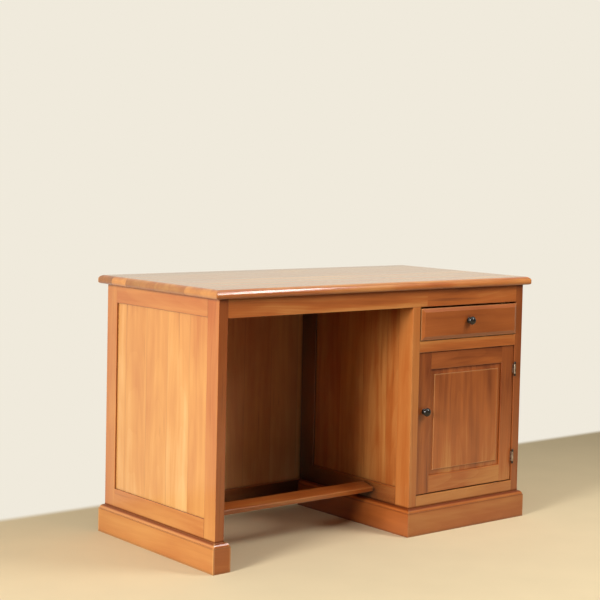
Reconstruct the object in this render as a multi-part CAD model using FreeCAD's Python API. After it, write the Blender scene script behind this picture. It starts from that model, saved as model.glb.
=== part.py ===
import FreeCAD, Part
import math
import os

# Kneehole desk of framed and panelled hardwood, with one drawer over a cupboard.
# Millimetres, +Z up, front towards -Y. The origin is on the floor, under the middle of the desk's box.

# Desk and top
desk_width = 1226.0
desk_depth = 600.0
desk_height = 763.0
top_thick = 25.0
top_upper_share = 0.62
top_lower_share = 0.34
top_corner_round = 4.0
overhang_side = 21.0
overhang_front = 18.0
overhang_back = 24.0

# Framed sides and back: stiles, rails and flat panels in grooves
frame_thick = 30.0
stile_width = 52.0
inner_front_stile_width = 60.0
inner_rear_stile_width = 57.0
muntin_width = 52.0
top_rail_width = 52.0
back_rail_width = 52.0
side_rail_show = 55.0
rail_foot = 30.0
panel_thick = 12.0
panel_recess = 5.0
groove_deep = 10.0
panel_gap = 1.0
tenon_thick = 10.0
tenon_long = 28.0
tenon_shoulder = 13.0
stub_long = 6.0
joint_play = 0.2
edge_ease = 1.2

# Front of the pedestal
pedestal_width = 474.0
apron_height = 53.0
apron_joint_from_side = 57.0
apron_lap = 24.0
cross_rail_thick = 28.0
cross_tenon_long = 20.0
drawer_space = 102.0
divider_height = 35.0
base_rail_show = 35.0

# Plinth
plinth_height = 82.0
plinth_thick = 13.5
plinth_ovolo = 11.5

# Footrest, sloping down towards the sitter
footrest_width = 50.0
footrest_thick = 15.0
footrest_slope = 12.5
footrest_setback = 157.0
footrest_lift = 120.0
footrest_ease = 2.0
footrest_dowel_radius = 4.0
footrest_dowel_in_rail = 7.0
footrest_dowel_in_board = 18.0
footrest_dowel_shares = (0.22, 0.6)

# Inside the pedestal
floor_thick = 12.0
cleat_size = 20.0
runner_size = 24.0
kicker_height = 30.0
kicker_room = 5.0
stop_height = 18.0
stop_long = 50.0

# Dowels that hold the top
top_dowel_radius = 4.0
top_dowel_in_rail = 18.0
top_dowel_in_top = 14.0
top_dowel_inset = 60.0
dowel_play = 0.05

# Drawer
drawer_proud = 8.0
drawer_front_thick = 25.0
drawer_gap_side = 1.5
drawer_gap_low = 2.0
drawer_gap_high = 5.0
drawer_bevel_width = 11.0
drawer_bevel_deep = 5.0
drawer_side_thick = 12.0
drawer_side_height = 86.0
drawer_lap = 12.0
drawer_bottom_thick = 6.0
drawer_bottom_lift = 8.0
drawer_groove_deep = 6.0
drawer_back_drop = 6.0
run_clearance = 0.3
tail_count = 3
tail_root = 13.0
tail_flare = 2.2

# Door
door_gap = 1.5
door_gap_low = 3.0
door_setback = 4.0
door_thick = 22.0
door_member = 52.0
door_tenon_thick = 7.0
door_tongue = 6.0
door_margin = 0.5
door_bevel_width = 15.5
door_bevel_rise = 1.8
door_field_rise = 3.0
door_field_ease = 1.0
door_tongue_from_face = 5.5

# Hinges, with capped pins
hinge_height = 30.0
hinge_inset = 74.0
hinge_barrel_radius = 3.25
hinge_leaf_thick = 1.4
hinge_leaf_reach = 16.0
hinge_knuckle_gap = 0.3
hinge_pin_radius = 1.5
hinge_pin_play = 0.05
hinge_cap_height = 8.0
hinge_cap_round = 2.0
hinge_screw_radius = 1.3
hinge_screw_head_radius = 2.6
hinge_screw_long = 13.0
hinge_screw_spacing = 16.0
hinge_screw_setback = 10.0

# Knobs with a screwed stud
knob_reach = 24.0
knob_base_radius = 9.0
knob_base_high = 2.5
knob_neck_radius = 5.0
knob_neck_end = 7.5
knob_head_radius = 13.0
knob_stud_radius = 2.5
knob_stud_long = 16.0
door_knob_above_middle = 36.0
drawer_knob_above_middle = 5.0
drawer_knob_off_middle = 10.0

# Magnetic catch behind the top of the door
catch_width = 40.0
catch_deep = 14.0
catch_height = 12.0
catch_from_stile = 26.0
strike_width = 30.0
strike_height = 11.0
strike_thick = 1.2
strike_from_top = 1.0

# Places worked out from the sizes
knob_overreach = drawer_proud + knob_reach - overhang_front
top_front_y = knob_overreach - (desk_depth + knob_overreach) / 2
top_back_y = top_front_y + desk_depth
front_y = top_front_y + overhang_front
rear_y = top_back_y - overhang_back
left_x = overhang_side - desk_width / 2
right_x = desk_width / 2 - overhang_side
carcass_top = desk_height - top_thick
top_upper_round = top_thick * top_upper_share
top_lower_round = top_thick * top_lower_share
knee_left_x = left_x + frame_thick
knee_right_x = right_x - pedestal_width
bay_left_x = knee_right_x + frame_thick
bay_right_x = right_x - frame_thick
back_front_y = rear_y - stile_width
back_rear_y = back_front_y + frame_thick
cross_back_y = front_y + cross_rail_thick
apron_foot = carcass_top - apron_height
divider_top = apron_foot - drawer_space
divider_foot = divider_top - divider_height
base_rail_top = plinth_height + base_rail_show
side_rail_top = plinth_height + side_rail_show
side_top_rail_foot = carcass_top - top_rail_width
stop_front_y = back_front_y - stop_long
drawer_face_y = front_y - drawer_proud
drawer_rear_y = stop_front_y - run_clearance

pieces = {}


def vec(x, y, z):
    return FreeCAD.Vector(x, y, z)


def box(x0, x1, y0, y1, z0, z1):
    return Part.makeBox(x1 - x0, y1 - y0, z1 - z0, vec(x0, y0, z0))


def eased(shape, grain, radius):
    """Rounds the edges of a box that run along its grain, "x", "y" or "z"."""
    long_edges = [e for e in shape.Edges if abs(getattr(e.tangentAt(e.FirstParameter), grain)) > 0.5]
    return shape.makeFillet(radius, long_edges)


def board(x0, x1, y0, y1, z0, z1, grain):
    return eased(box(x0, x1, y0, y1, z0, z1), grain, edge_ease)


def loose(span):
    """A tenon's span, with play all round, as its mortise."""
    return [value + (joint_play if at % 2 else -joint_play) for at, value in enumerate(span)]


def cylinder(radius, length, at, along):
    return Part.makeCylinder(radius, length, vec(*at), vec(*along))


def prism(points, reach):
    """The flat outline through the points, pushed along the vector reach."""
    outline = Part.makePolygon([vec(*p) for p in points + points[:1]])
    return Part.Face(outline).extrude(vec(*reach))


def cut(names, *tools):
    for name in names:
        for tool in tools:
            pieces[name] = pieces[name].cut(tool)


def fuse(shapes):
    whole = shapes[0]
    for shape in shapes[1:]:
        whole = whole.fuse(shape)
    return whole.removeSplitter()


def framed(length, foot, head, stiles, rails, thick, groove, tongue_thick):
    """Two stiles and two tenoned rails, grooved for a panel, standing along +X with their face at Y 0.

    stiles holds the two widths, rails the lower and upper edges of the bottom and top rail,
    and groove the place of the groove's middle from the face.
    """
    inside = (stiles[0], length - stiles[1])
    posts = [
        board(0, inside[0], 0, thick, foot, head, "z"),
        board(inside[1], length, 0, thick, foot, head, "z"),
    ]
    bars = []
    half_tenon = tongue_thick / 2
    for low, high in rails:
        bar = board(inside[0], inside[1], 0, thick, low, high, "x")
        for side, (start, end) in enumerate(
            ((inside[0] - tenon_long, inside[0]), (inside[1], inside[1] + tenon_long))
        ):
            tenon = (start, end, thick / 2 - half_tenon, thick / 2 + half_tenon,
                     low + tenon_shoulder, high - tenon_shoulder)
            bar = bar.fuse(box(*tenon))
            posts[side] = posts[side].cut(box(*loose(tenon)))
        bars.append(bar.removeSplitter())
    half_groove = groove[1] / 2 + joint_play
    channel = box(inside[0] - groove_deep, inside[1] + groove_deep,
                  groove[0] - half_groove, groove[0] + half_groove,
                  rails[0][1] - groove_deep, rails[1][0] + groove_deep)
    return [part.cut(channel) for part in posts + bars]


def tongue_span(length, stiles, rails):
    """Where a panel reaches in its grooves: left, right, bottom, top."""
    tongue = groove_deep - panel_gap
    return (stiles[0] - tongue, length - stiles[1] + tongue, rails[0][1] - tongue, rails[1][0] + tongue)


def framed_side(name, x, rear, stiles, shows_right):
    """A desk side from the front to rear, its left face at x, its panel set near the face that shows."""
    length = rear - front_y
    rails = ((rail_foot, side_rail_top), (side_top_rail_foot, carcass_top))
    near = panel_recess if shows_right else frame_thick - panel_recess - panel_thick
    groove = (near + panel_thick / 2, panel_thick)
    parts = framed(length, 0, carcass_top, stiles, rails, frame_thick, groove, tenon_thick)
    u0, u1, z0, z1 = tongue_span(length, stiles, rails)
    parts.append(box(u0, u1, near, near + panel_thick, z0, z1))
    words = ("front_stile", "rear_stile", "bottom_rail", "top_rail", "panel")
    for word, part in zip(words, parts):
        part.rotate(vec(0, 0, 0), vec(0, 0, 1), 90)
        part.translate(vec(x + frame_thick, front_y, 0))
        pieces[name + "_" + word] = part


def cross_rail(name, x0, x1, z0, z1, holders):
    """A rail across the front, tenoned at both ends into the pieces named in holders."""
    rail = board(x0, x1, front_y, cross_back_y, z0, z1, "x")
    middle_y = (front_y + cross_back_y) / 2
    for holder, start, end in ((holders[0], x0 - cross_tenon_long, x0),
                               (holders[1], x1, x1 + cross_tenon_long)):
        if holder:
            tenon = (start, end, middle_y - tenon_thick / 2, middle_y + tenon_thick / 2,
                     z0 + tenon_shoulder, z1 - tenon_shoulder)
            rail = rail.fuse(box(*tenon))
            cut([holder], box(*loose(tenon)))
    pieces[name] = rail.removeSplitter()


def make_top():
    """The top: a nosed profile run both ways, so that its corners are mitred, and rounded in plan."""
    def nosed(low, high):
        upper = math.sqrt(0.5) * top_upper_round
        lower = math.sqrt(0.5) * top_lower_round
        rise_high = desk_height - top_upper_round
        rise_low = carcass_top + top_lower_round
        edges = []
        for edge, turn in ((low, 1), (high, -1)):
            in_up = edge + turn * top_upper_round
            in_low = edge + turn * top_lower_round
            up = (vec(0, in_up, desk_height), vec(0, in_up - turn * upper, rise_high + upper),
                  vec(0, edge, rise_high))
            down = (vec(0, edge, rise_low), vec(0, in_low - turn * lower, rise_low - lower),
                    vec(0, in_low, carcass_top))
            edges.append((up, down))
        (up0, down0), (up1, down1) = edges
        outline = [
            Part.Arc(*up0).toShape(), Part.makeLine(up0[2], down0[0]), Part.Arc(*down0).toShape(),
            Part.makeLine(down0[2], down1[2]), Part.Arc(*reversed(down1)).toShape(),
            Part.makeLine(down1[0], up1[2]), Part.Arc(*reversed(up1)).toShape(),
            Part.makeLine(up1[0], up0[0]),
        ]
        return Part.Face(Part.Wire(outline))

    along = nosed(top_front_y, top_back_y)
    along.translate(vec(-desk_width / 2, 0, 0))
    across = nosed(-desk_width / 2, desk_width / 2)
    across.rotate(vec(0, 0, 0), vec(0, 0, 1), -90)
    across.translate(vec(0, top_front_y, 0))
    plan = box(-desk_width / 2, desk_width / 2, top_front_y, top_back_y, carcass_top, desk_height)
    plan = eased(plan, "z", top_corner_round)
    run = along.extrude(vec(desk_width, 0, 0))
    pieces["desk_top"] = run.common(across.extrude(vec(0, desk_depth, 0))).common(plan)


def make_sides():
    framed_side("left", left_x, rear_y, (stile_width, stile_width), False)
    framed_side("right", bay_right_x, rear_y, (stile_width, stile_width), True)
    framed_side("inner", knee_right_x, back_front_y, (inner_front_stile_width, inner_rear_stile_width), False)


def make_back():
    """The inset back: two rails between the rear stiles, a muntin behind the inner side, and two panels."""
    middle_y = (back_front_y + back_rear_y) / 2
    rails = ((rail_foot, rail_foot + back_rail_width), (carcass_top - back_rail_width, carcass_top))
    names = ("back_bottom_rail", "back_top_rail")
    muntin_x = (knee_right_x, knee_right_x + muntin_width)
    muntin = board(*muntin_x, back_front_y, back_rear_y, rails[0][1], rails[1][0], "z")
    for name, (low, high), end in zip(names, rails, (rails[0][1], rails[1][0])):
        rail = board(knee_left_x, bay_right_x, back_front_y, back_rear_y, low, high, "x")
        for holder, start, stop in (("left_rear_stile", knee_left_x - stub_long, knee_left_x),
                                    ("right_rear_stile", bay_right_x, bay_right_x + stub_long)):
            tenon = (start, stop, middle_y - tenon_thick / 2, middle_y + tenon_thick / 2,
                     low + tenon_shoulder, high - tenon_shoulder)
            rail = rail.fuse(box(*tenon))
            cut([holder], box(*loose(tenon)))
        tenon = (muntin_x[0] + tenon_shoulder, muntin_x[1] - tenon_shoulder, middle_y - tenon_thick / 2,
                 middle_y + tenon_thick / 2, end - stub_long, end + stub_long)
        muntin = muntin.fuse(box(*tenon))
        pieces[name] = rail.cut(box(*loose(tenon)))
    pieces["back_muntin"] = muntin
    tongue = stub_long - panel_gap
    faces = (middle_y - panel_thick / 2, middle_y + panel_thick / 2)
    for name, x0, x1 in (("back_knee_panel", knee_left_x, muntin_x[0]),
                         ("back_cupboard_panel", muntin_x[1], bay_right_x)):
        cut(("left_rear_stile", "right_rear_stile", "back_bottom_rail", "back_top_rail", "back_muntin"),
            box(x0 - stub_long, x1 + stub_long, faces[0] - joint_play, faces[1] + joint_play,
                rails[0][1] - stub_long, rails[1][0] + stub_long))
        pieces[name] = box(x0 - tongue, x1 + tongue, *faces, rails[0][1] - tongue, rails[1][0] + tongue)


def make_front():
    """The apron in two lengths lapped over the inner side, the drawer divider and the rail under the door."""
    joint_x = knee_right_x + apron_joint_from_side
    cut(("inner_front_stile",), box(knee_right_x, bay_left_x, front_y, cross_back_y, apron_foot, carcass_top))
    cross_rail("knee_apron", knee_left_x, joint_x, apron_foot, carcass_top, ("left_front_stile", None))
    cross_rail("drawer_apron", joint_x, bay_right_x, apron_foot, carcass_top, (None, "right_front_stile"))
    middle_y = (front_y + cross_back_y) / 2
    lap = box(joint_x, joint_x + apron_lap, middle_y, cross_back_y,
              apron_foot + edge_ease, carcass_top - edge_ease)
    pieces["knee_apron"] = pieces["knee_apron"].fuse(lap).removeSplitter()
    cut(("drawer_apron",), box(joint_x, joint_x + apron_lap + joint_play, middle_y - joint_play, cross_back_y,
                               apron_foot, carcass_top))
    holders = ("inner_front_stile", "right_front_stile")
    cross_rail("drawer_divider", bay_left_x, bay_right_x, divider_foot, divider_top, holders)
    cross_rail("base_rail", bay_left_x, bay_right_x, rail_foot, base_rail_top, holders)


def plinth(name, length, mitred, turn, at):
    """A moulded plinth board on a wall, mitred or square at its ends, turned so far from facing -Y."""
    ovolo_foot = plinth_height - plinth_ovolo
    sloped = math.sqrt(0.5) * plinth_ovolo
    start = -plinth_thick
    points = [(start, 0, 0), (start, -plinth_thick, 0), (start, -plinth_thick, ovolo_foot),
              (start, -plinth_ovolo, ovolo_foot), (start, 0, plinth_height)]
    foot, toe, brow, quirk, crown = [vec(*p) for p in points]
    ovolo = Part.Arc(quirk, vec(start, -sloped, ovolo_foot + sloped), crown).toShape()
    outline = [Part.makeLine(foot, toe), Part.makeLine(toe, brow), Part.makeLine(brow, quirk), ovolo,
               Part.makeLine(crown, foot)]
    run = Part.Face(Part.Wire(outline)).extrude(vec(length + 2 * plinth_thick, 0, 0))
    ends = [plinth_thick if end else 0 for end in mitred]
    plan = [(0, 0, 0), (length, 0, 0), (length + ends[1], -plinth_thick, 0), (-ends[0], -plinth_thick, 0)]
    shape = run.common(prism(plan, (0, 0, plinth_height)))
    shape.rotate(vec(0, 0, 0), vec(0, 0, 1), turn)
    shape.translate(vec(*at, 0))
    if name in pieces:
        shape = Part.makeCompound(pieces[name].Solids + shape.Solids)
    pieces[name] = shape


def make_plinths():
    inner_run = back_front_y - front_y
    outer_run = rear_y - front_y
    plinth("left_plinth_front", frame_thick, (True, True), 0, (left_x, front_y))
    plinth("left_plinth_outer", outer_run, (True, True), -90, (left_x, rear_y))
    plinth("left_plinth_inner", inner_run, (True, False), 90, (knee_left_x, front_y))
    plinth("pedestal_plinth_front", pedestal_width, (True, True), 0, (knee_right_x, front_y))
    plinth("pedestal_plinth_inner", inner_run, (False, True), -90, (knee_right_x, back_front_y))
    plinth("right_plinth_outer", outer_run, (True, True), 90, (right_x, front_y))
    plinth("rear_plinth_returns", frame_thick, (False, True), 180, (knee_left_x, rear_y))
    plinth("rear_plinth_returns", frame_thick, (True, False), 180, (right_x, rear_y))


def make_footrest():
    """A sloped board between the kneehole sides, on two dowels at each end."""
    front = front_y + footrest_setback
    slab = box(knee_left_x, knee_right_x, 0, footrest_width, -footrest_thick, 0)
    slab = eased(slab, "x", footrest_ease)
    slab.rotate(vec(0, 0, 0), vec(1, 0, 0), footrest_slope)
    slab.translate(vec(0, front, footrest_lift))
    pieces["footrest"] = slab
    slope = math.radians(footrest_slope)
    long = footrest_dowel_in_rail + footrest_dowel_in_board
    dowels = []
    for share in footrest_dowel_shares:
        along = share * footrest_width
        y = front + along * math.cos(slope) + footrest_thick / 2 * math.sin(slope)
        z = footrest_lift + along * math.sin(slope) - footrest_thick / 2 * math.cos(slope)
        for x, turn, holder in ((knee_left_x, 1, "left_bottom_rail"),
                                (knee_right_x, -1, "inner_bottom_rail")):
            dowels.append(cylinder(footrest_dowel_radius, long, (x - turn * footrest_dowel_in_rail, y, z),
                                   (turn, 0, 0)))
            hole_start = x - turn * (footrest_dowel_in_rail + joint_play)
            cut(("footrest", holder), cylinder(footrest_dowel_radius + dowel_play, long + 2 * joint_play,
                                               (hole_start, y, z), (turn, 0, 0)))
    pieces["footrest_dowels"] = Part.makeCompound(dowels)


def make_top_dowels():
    """Upright dowels from the side and back rails into the underside of the top."""
    rails = ((left_x, "left_top_rail"), (knee_right_x, "inner_top_rail"), (bay_right_x, "right_top_rail"))
    places = []
    for y in (front_y + inner_front_stile_width + top_dowel_inset,
              back_front_y - inner_rear_stile_width - top_dowel_inset):
        places += [(x + frame_thick / 2, y, rail) for x, rail in rails]
    for x in (knee_left_x + top_dowel_inset, knee_right_x - top_dowel_inset):
        places.append((x, (back_front_y + back_rear_y) / 2, "back_top_rail"))
    long = top_dowel_in_rail + top_dowel_in_top
    dowels = []
    for x, y, rail in places:
        dowels.append(cylinder(top_dowel_radius, long, (x, y, carcass_top - top_dowel_in_rail), (0, 0, 1)))
        hole = cylinder(top_dowel_radius + dowel_play, long + 2 * joint_play,
                        (x, y, carcass_top - top_dowel_in_rail - joint_play), (0, 0, 1))
        cut(("desk_top", rail), hole)
    pieces["top_dowels"] = Part.makeCompound(dowels)


def pair(x0, x1, y0, y1, z0, z1, grain):
    """The same strip on the pedestal's inner side and, mirrored, on its outer side."""
    mirrored = bay_left_x + bay_right_x
    return Part.makeCompound([
        board(x0, x1, y0, y1, z0, z1, grain),
        board(mirrored - x1, mirrored - x0, y0, y1, z0, z1, grain),
    ])


def make_inside():
    """Cupboard floor on cleats, drawer runners, kickers that keep the drawer level, and stops behind it."""
    pieces["cupboard_floor"] = box(bay_left_x, bay_right_x, cross_back_y, back_front_y,
                                   base_rail_top - floor_thick, base_rail_top)
    cleat_top = base_rail_top - floor_thick
    pieces["floor_cleats"] = pair(bay_left_x, bay_left_x + cleat_size, cross_back_y, back_front_y,
                                  cleat_top - cleat_size, cleat_top, "y")
    pieces["drawer_runners"] = pair(bay_left_x, bay_left_x + runner_size, cross_back_y, back_front_y,
                                    divider_top - runner_size, divider_top, "y")
    kicker_foot = divider_top + run_clearance + drawer_side_height + kicker_room
    pieces["drawer_kickers"] = pair(bay_left_x, bay_left_x + runner_size, cross_back_y, back_front_y,
                                    kicker_foot, kicker_foot + kicker_height, "y")
    pieces["drawer_stops"] = pair(bay_left_x, bay_left_x + runner_size, stop_front_y, back_front_y,
                                  divider_top, divider_top + stop_height, "z")


def knob(x, face, z):
    """A turned knob on the face at Y face, with its stud running back into the wood."""
    def at(radius, out):
        return vec(x + radius, face - out, z)

    half = math.sqrt(0.5)
    cove = knob_base_radius - knob_neck_radius
    cove_end = knob_base_high + cove
    swell = knob_head_radius - knob_neck_radius
    rim = knob_neck_end + swell
    rise = knob_reach - rim
    dome = (knob_head_radius ** 2 + rise ** 2) / (2 * rise)
    lean = math.asin(knob_head_radius / dome) / 2
    outline = [
        Part.makeLine(at(0, -knob_stud_long), at(knob_stud_radius, -knob_stud_long)),
        Part.makeLine(at(knob_stud_radius, -knob_stud_long), at(knob_stud_radius, 0)),
        Part.makeLine(at(knob_stud_radius, 0), at(knob_base_radius, 0)),
        Part.makeLine(at(knob_base_radius, 0), at(knob_base_radius, knob_base_high)),
        Part.Arc(at(knob_base_radius, knob_base_high),
                 at(knob_base_radius - half * cove, cove_end - half * cove),
                 at(knob_neck_radius, cove_end)).toShape(),
        Part.makeLine(at(knob_neck_radius, cove_end), at(knob_neck_radius, knob_neck_end)),
        Part.Arc(at(knob_neck_radius, knob_neck_end),
                 at(knob_neck_radius + half * swell, rim - half * swell),
                 at(knob_head_radius, rim)).toShape(),
        Part.Arc(at(knob_head_radius, rim),
                 at(dome * math.sin(lean), knob_reach - dome + dome * math.cos(lean)),
                 at(0, knob_reach)).toShape(),
        Part.makeLine(at(0, knob_reach), at(0, -knob_stud_long)),
    ]
    return Part.Face(Part.Wire(outline)).revolve(vec(x, face, z), vec(0, 1, 0), 360)


def knob_hole(x, face, z):
    return cylinder(knob_stud_radius + dowel_play, knob_stud_long + joint_play, (x, face, z), (0, 1, 0))


def dovetails(x0, x1, root_y, z0, z1, play):
    """The tails at a drawer side's front end, widening away from the shoulder at root_y."""
    pitch = (z1 - z0) / tail_count
    tails = []
    for at in range(tail_count):
        middle = z0 + (at + 0.5) * pitch
        root = tail_root / 2 + play
        tip = root + tail_flare
        end_y = root_y - drawer_lap - play
        outline = [(x0, root_y, middle - root), (x0, end_y, middle - tip),
                   (x0, end_y, middle + tip), (x0, root_y, middle + root)]
        tails.append(prism(outline, (x1 - x0, 0, 0)))
    return tails


def make_drawer():
    """A dovetailed drawer box behind a bevelled front that stands proud of the carcass."""
    face = drawer_face_y
    front_back = face + drawer_front_thick
    x0 = bay_left_x + drawer_gap_side
    x1 = bay_right_x - drawer_gap_side
    z0 = divider_top + drawer_gap_low
    z1 = apron_foot - drawer_gap_high
    inner_x0 = x0 + drawer_side_thick
    inner_x1 = x1 - drawer_side_thick
    rear = drawer_rear_y
    foot = divider_top + run_clearance
    head = foot + drawer_side_height
    bevel_back = face + drawer_bevel_deep
    slab = box(x0, x1, bevel_back, front_back, z0, z1)
    bevel = Part.makeWedge(x0 + drawer_bevel_width, face, z0 + drawer_bevel_width, z0, x0,
                           x1 - drawer_bevel_width, bevel_back, z1 - drawer_bevel_width, z1, x1)
    front = fuse([slab, bevel])
    bottom_foot = foot + drawer_bottom_lift
    bottom_top = bottom_foot + drawer_bottom_thick
    groove = box(inner_x0 - drawer_groove_deep, inner_x1 + drawer_groove_deep,
                 front_back - drawer_groove_deep, rear, bottom_foot - joint_play, bottom_top + joint_play)
    back_y = rear - drawer_side_thick
    back = (inner_x0 - drawer_groove_deep, inner_x1 + drawer_groove_deep, back_y, rear,
            bottom_top + joint_play, head - drawer_back_drop)
    for name, side_x0, side_x1 in (("drawer_inner_side", x0, inner_x0), ("drawer_outer_side", inner_x1, x1)):
        side = board(side_x0, side_x1, front_back, rear, foot, head, "y")
        side = fuse([side] + dovetails(side_x0, side_x1, front_back, z0, head, 0))
        for socket in dovetails(side_x0, side_x1, front_back, z0, head, joint_play):
            front = front.cut(socket)
        pieces[name] = side.cut(groove).cut(box(*loose(back)))
    knob_x = (x0 + x1) / 2 - drawer_knob_off_middle
    knob_z = (z0 + z1) / 2 + drawer_knob_above_middle
    pieces["drawer_front"] = front.cut(groove).cut(knob_hole(knob_x, face, knob_z))
    pieces["drawer_back"] = box(*back)
    tongue = drawer_groove_deep - panel_gap
    pieces["drawer_bottom"] = box(inner_x0 - tongue, inner_x1 + tongue, front_back - tongue, rear,
                                  bottom_foot, bottom_top)
    pieces["drawer_knob"] = knob(knob_x, face, knob_z)


def make_door():
    """An inset framed door with a raised and fielded panel."""
    x0 = bay_left_x + door_gap
    x1 = bay_right_x - door_gap
    z0 = base_rail_top + door_gap_low
    z1 = divider_foot - door_gap
    face = front_y + door_setback
    length = x1 - x0
    stiles = (door_member, door_member)
    rails = ((z0, z0 + door_member), (z1 - door_member, z1))
    groove = (door_tongue_from_face + door_tongue / 2, door_tongue)
    words = ("left_stile", "right_stile", "bottom_rail", "top_rail")
    for word, part in zip(words, framed(length, z0, z1, stiles, rails, door_thick, groove, door_tenon_thick)):
        part.translate(vec(x0, face, 0))
        pieces["door_" + word] = part
    u0, u1, low, high = tongue_span(length, stiles, rails)
    tongue_y = face + door_tongue_from_face
    tongue = box(x0 + u0, x0 + u1, tongue_y, tongue_y + door_tongue, low, high)
    open_x0 = x0 + door_member + door_margin
    open_x1 = x1 - door_member - door_margin
    open_z0 = z0 + door_member + door_margin
    open_z1 = z1 - door_member - door_margin
    bevel_y = tongue_y - door_bevel_rise
    bevel = Part.makeWedge(open_x0 + door_bevel_width, bevel_y, open_z0 + door_bevel_width,
                           open_z0, open_x0, open_x1 - door_bevel_width, tongue_y, open_z1 - door_bevel_width,
                           open_z1, open_x1)
    field = box(open_x0 + door_bevel_width, open_x1 - door_bevel_width, bevel_y - door_field_rise, bevel_y,
                open_z0 + door_bevel_width, open_z1 - door_bevel_width)
    field_rim = [e for e in field.Edges if e.BoundBox.YMax < bevel_y - door_field_rise / 2]
    pieces["door_panel"] = fuse([tongue, bevel, field.makeFillet(door_field_ease, field_rim)])
    knob_x = x0 + door_member / 2
    knob_z = (z0 + z1) / 2 + door_knob_above_middle
    cut(("door_left_stile",), knob_hole(knob_x, face, knob_z))
    pieces["door_knob"] = knob(knob_x, face, knob_z)
    make_hinges(x1, (z0 + hinge_inset, z1 - hinge_inset))
    make_catch(face + door_thick, z1)


def make_hinges(door_edge, middles):
    """Butt hinges let into the door and the front stile, each on a pin with two caps."""
    axis_x = (door_edge + bay_right_x) / 2
    axis_y = front_y - hinge_barrel_radius - run_clearance
    third = (hinge_height - 2 * hinge_knuckle_gap) / 3
    frame_leaves = []
    door_leaves = []
    pins = []
    screws = {"frame": [], "door": []}
    for middle in middles:
        low = middle - hinge_height / 2
        high = middle + hinge_height / 2
        spans = ((low, low + third), (low + third + hinge_knuckle_gap, high - third - hinge_knuckle_gap),
                 (high - third, high))
        bore = cylinder(hinge_pin_radius + hinge_pin_play, hinge_height, (axis_x, axis_y, low), (0, 0, 1))
        for leaves, wall_x, side, own in ((frame_leaves, bay_right_x, 1, spans[0::2]),
                                          (door_leaves, door_edge, -1, spans[1:2])):
            x_near, x_far = sorted((wall_x, wall_x + side * hinge_leaf_thick))
            plate = (x_near, x_far, front_y, front_y + hinge_leaf_reach, low, high)
            shapes = [box(*plate)]
            for foot, head in own:
                shapes.append(cylinder(hinge_barrel_radius, head - foot, (axis_x, axis_y, foot), (0, 0, 1)))
                shapes.append(box(x_near, x_far, axis_y, front_y, foot, head))
            leaf = fuse(shapes).cut(bore)
            holder, kind = ("right_front_stile", "frame") if side > 0 else ("door_right_stile", "door")
            cut((holder,), box(*plate))
            for step in (-hinge_screw_spacing / 2, hinge_screw_spacing / 2):
                at = (wall_x, front_y + hinge_screw_setback, middle + step)
                screw, hole = hinge_screw(at, side)
                leaf = leaf.cut(hole)
                cut((holder,), hole)
                screws[kind].append(screw)
            leaves.append(leaf)
        pin = cylinder(hinge_pin_radius, hinge_height, (axis_x, axis_y, low), (0, 0, 1))
        caps = []
        for z, up in ((high, 1), (low, -1)):
            cap = cylinder(hinge_barrel_radius, hinge_cap_height, (axis_x, axis_y, z), (0, 0, up))
            tip = [e for e in cap.Edges if abs(e.CenterOfMass.z - z - up * hinge_cap_height) < joint_play]
            caps.append(cap.makeFillet(hinge_cap_round, tip))
        pins.append(fuse([pin] + caps))
    pieces["hinge_frame_leaves"] = Part.makeCompound(frame_leaves)
    pieces["hinge_door_leaves"] = Part.makeCompound(door_leaves)
    pieces["hinge_pins"] = Part.makeCompound(pins)
    pieces["hinge_frame_screws"] = Part.makeCompound(screws["frame"])
    pieces["hinge_door_screws"] = Part.makeCompound(screws["door"])


def hinge_screw(at, side):
    """A countersunk screw, its head level with the leaf, and the hole that it sits in."""
    def shape(play):
        head = Part.makeCone(hinge_screw_head_radius + play, hinge_screw_radius + play, hinge_leaf_thick,
                             vec(*at), vec(side, 0, 0))
        shank = cylinder(hinge_screw_radius + play, hinge_screw_long + play, at, (side, 0, 0))
        return fuse([head, shank])

    return shape(0), shape(dowel_play)


def make_catch(door_back, door_top):
    """A magnetic catch under the divider and the strike plate let into the back of the door."""
    x0 = bay_left_x + catch_from_stile
    catch_y = door_back + run_clearance
    pieces["door_catch"] = board(x0, x0 + catch_width, catch_y, catch_y + catch_deep,
                                 divider_foot - catch_height, divider_foot, "x")
    strike_x = x0 + (catch_width - strike_width) / 2
    strike_top = door_top - strike_from_top
    strike = (strike_x, strike_x + strike_width, door_back - strike_thick, door_back,
              strike_top - strike_height, strike_top)
    cut(("door_left_stile", "door_top_rail"), box(*strike))
    pieces["catch_strike"] = box(*strike)


make_top()
make_sides()
make_back()
make_front()
make_plinths()
make_footrest()
make_top_dowels()
make_inside()
make_drawer()
make_door()

os.makedirs("parts", exist_ok=True)
for node, shape in pieces.items():
    shape.exportStep("parts/" + node + ".step")
print(len(pieces), "nodes")
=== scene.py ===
import math

import bpy
from bpy.props import FloatProperty, FloatVectorProperty, PointerProperty
from bpy.types import Operator, Panel, PropertyGroup
from mathutils import Matrix, Quaternion, Vector


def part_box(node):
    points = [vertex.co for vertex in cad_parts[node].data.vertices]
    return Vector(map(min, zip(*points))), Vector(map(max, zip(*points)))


bl_info = {
    "name": "Kneehole desk looks",
    "version": (1, 0, 0),
    "blender": (4, 5, 0),
    "location": "3D View > Sidebar > Desk",
    "description": "Wood, varnish and metal finishes for a panelled kneehole desk, with its stage",
    "category": "Object",
}

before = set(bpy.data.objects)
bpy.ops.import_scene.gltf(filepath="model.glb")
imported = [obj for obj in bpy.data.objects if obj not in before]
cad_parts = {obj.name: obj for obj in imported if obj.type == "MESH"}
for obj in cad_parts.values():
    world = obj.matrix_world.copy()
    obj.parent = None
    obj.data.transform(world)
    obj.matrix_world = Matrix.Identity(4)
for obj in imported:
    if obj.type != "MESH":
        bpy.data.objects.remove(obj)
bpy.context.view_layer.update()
MM = 0.001


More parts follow.
